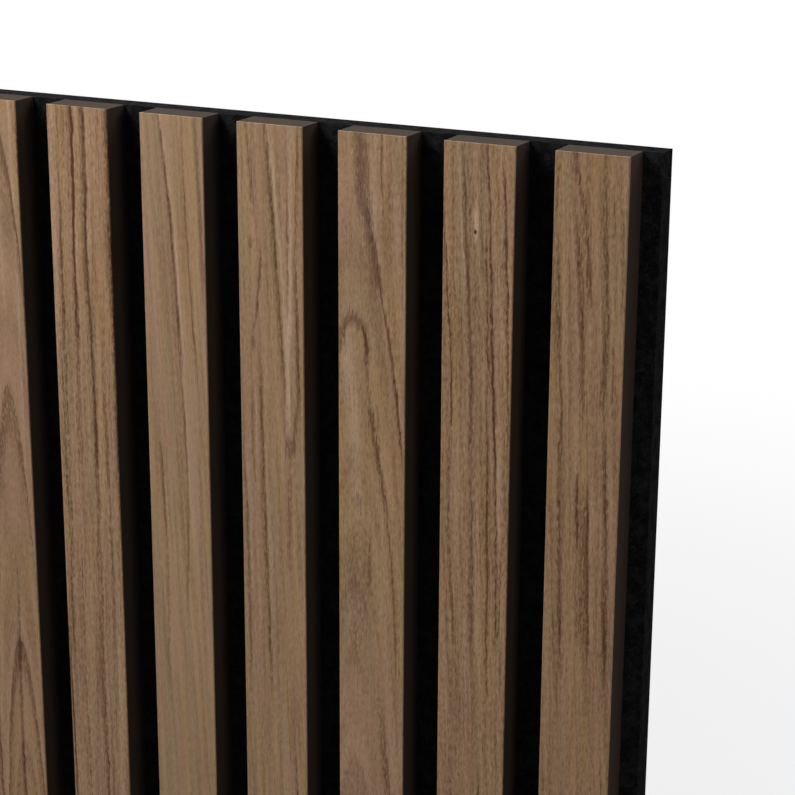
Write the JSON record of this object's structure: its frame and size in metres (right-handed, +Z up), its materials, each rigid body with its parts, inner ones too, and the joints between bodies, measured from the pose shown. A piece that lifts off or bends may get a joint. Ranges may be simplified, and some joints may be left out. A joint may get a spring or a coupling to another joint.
{
  "type": "acoustic slat wall panel",
  "caption": "Square acoustic wall panel: walnut-veneered black fibreboard slats, upright and evenly spaced on a black felt backing that absorbs sound in the grooves.",
  "frame": {"origin": "middle of the panel's back face, which lies flat on the wall", "axes": "+Z up along the slats, +Y into the wall, +X to the right seen from the room; the slats face -Y"},
  "size_m": [0.6, 0.021, 0.6],
  "materials": {
    "walnut_veneer": "matte",
    "black_fibreboard": "matte",
    "black_felt": "matte",
    "staple_wire": "satin"
  },
  "bodies": {
    "root": {"felt_backing": "black_felt", "slat_core_01": "black_fibreboard", "slat_core_02": "black_fibreboard", "slat_core_03": "black_fibreboard", "slat_core_04": "black_fibreboard", "slat_core_05": "black_fibreboard", "slat_core_06": "black_fibreboard", "slat_core_07": "black_fibreboard", "slat_core_08": "black_fibreboard", "slat_core_09": "black_fibreboard", "slat_core_10": "black_fibreboard", "slat_core_11": "black_fibreboard", "slat_core_12": "black_fibreboard", "slat_core_13": "black_fibreboard", "slat_core_14": "black_fibreboard", "slat_core_15": "black_fibreboard", "slat_veneer_01": "walnut_veneer", "slat_veneer_02": "walnut_veneer", "slat_veneer_03": "walnut_veneer", "slat_veneer_04": "walnut_veneer", "slat_veneer_05": "walnut_veneer", "slat_veneer_06": "walnut_veneer", "slat_veneer_07": "walnut_veneer", "slat_veneer_08": "walnut_veneer", "slat_veneer_09": "walnut_veneer", "slat_veneer_10": "walnut_veneer", "slat_veneer_11": "walnut_veneer", "slat_veneer_12": "walnut_veneer", "slat_veneer_13": "walnut_veneer", "slat_veneer_14": "walnut_veneer", "slat_veneer_15": "walnut_veneer", "back_staples": "staple_wire"}
  },
  "joints": []
}
